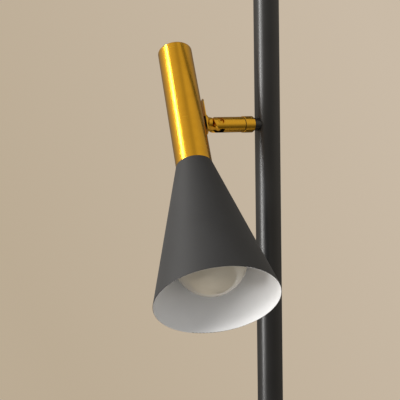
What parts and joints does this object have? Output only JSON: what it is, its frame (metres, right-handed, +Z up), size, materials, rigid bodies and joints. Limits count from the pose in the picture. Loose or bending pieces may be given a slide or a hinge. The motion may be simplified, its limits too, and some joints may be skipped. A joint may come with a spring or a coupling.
{
  "type": "tension pole lamp",
  "caption": "Floor-to-ceiling tension pole lamp: a sprung telescoping pole with a swivelling, tilting cone shade on a brass tube.",
  "frame": {"origin": "middle of the floor pad's underside, on the pole's axis", "axes": "+Z up along the pole; the lamp's arm leaves the pole along -X; the cord inlet is on +X"},
  "size_m": [0.2291, 0.2268, 2.46],
  "materials": {
    "charcoal_paint": "matte charcoal powder coat",
    "shade_paint": "matte dark grey outside, white inside",
    "satin_brass": "satin, lengthwise polish",
    "plated_steel": "bright zinc plate",
    "spring_steel": "oiled spring wire",
    "black_rubber": "matte",
    "black_nylon": "matte",
    "moulded_black": "moulded, low gloss",
    "contact_brass": "bright strip",
    "bulb_aluminium": "bright",
    "frosted_glass": "frosted",
    "lead_sleeve": "matte sleeve"
  },
  "bodies": {
    "pole": {"floor_pad": "black_rubber", "foot_flange": "charcoal_paint", "foot_screw": "plated_steel", "foot_plug": "plated_steel", "pole_tube_lower": "charcoal_paint", "cord_grommet": "black_rubber", "coupler_lower": "charcoal_paint", "coupler_insert_lower": "plated_steel", "pole_tube_middle": "charcoal_paint", "coupler_upper": "charcoal_paint", "coupler_insert_upper": "plated_steel", "pole_tube_upper": "charcoal_paint", "arm_saddle_washer": "plated_steel", "arm_inner_nut": "plated_steel", "arm_boss": "charcoal_paint", "arm_nipple": "plated_steel", "arm_collar": "satin_brass", "swivel_washer": "black_nylon", "swivel_stop_pin": "plated_steel", "arm_spring_washer": "spring_steel", "arm_nut": "plated_steel", "clamp_collar": "charcoal_paint", "clamp_screw": "plated_steel", "clamp_nut": "plated_steel", "pole_lead": "lead_sleeve"},
    "telescope": {"telescope_tube": "charcoal_paint", "slide_bush": "black_nylon", "spring_seat": "plated_steel", "spring_seat_pin": "plated_steel", "plunger_bush": "black_nylon", "tension_spring": "spring_steel"},
    "plunger": {"plunger_tube": "charcoal_paint", "plunger_guide": "black_nylon", "plunger_plug": "plated_steel", "ceiling_flange": "charcoal_paint", "ceiling_screw": "plated_steel", "ceiling_pad": "black_rubber"},
    "arm": {"arm_tube": "satin_brass", "fork_end": "satin_brass", "hinge_screw": "satin_brass", "hinge_nut": "satin_brass", "hinge_washers": "black_nylon", "arm_lead": "lead_sleeve"},
    "head": {"knuckle_neck": "satin_brass", "back_plate": "satin_brass", "saddle_spacer": "black_nylon", "head_tube": "satin_brass", "head_cap": "satin_brass", "neck_nut": "plated_steel", "holder_bracket": "plated_steel", "holder_nipple": "plated_steel", "holder_nut": "plated_steel", "lampholder_body": "moulded_black", "screw_shell": "contact_brass", "centre_contact": "contact_brass", "shade": "shade_paint", "bulb_glass": "frosted_glass", "bulb_cap": "bulb_aluminium", "bulb_contact": "moulded_black", "head_lead": "lead_sleeve"}
  },
  "joints": [
    {"name": "arm_swivel", "type": "hinge", "parent": "pole", "child": "arm", "pos_m": [0, 0, 1.5], "axis": [-1, 0, 0], "range_deg": [-146, 184]},
    {"name": "head_tilt", "type": "hinge", "parent": "arm", "child": "head", "pos_m": [-0.0594, 0, 1.5], "axis": [0, 0.809, -0.5878], "range_deg": [-72, 48]},
    {"name": "pole_height", "type": "slide", "parent": "pole", "child": "telescope", "axis": [0, 0, 1], "range_m": [-0.12, 0.1]},
    {"name": "plunger_press", "type": "slide", "parent": "telescope", "child": "plunger", "axis": [0, 0, 1], "range_m": [-0.06, 0], "stiffness_N_per_m": 1500, "springref_m": 0.02, "deforming": ["tension_spring"]}
  ]
}
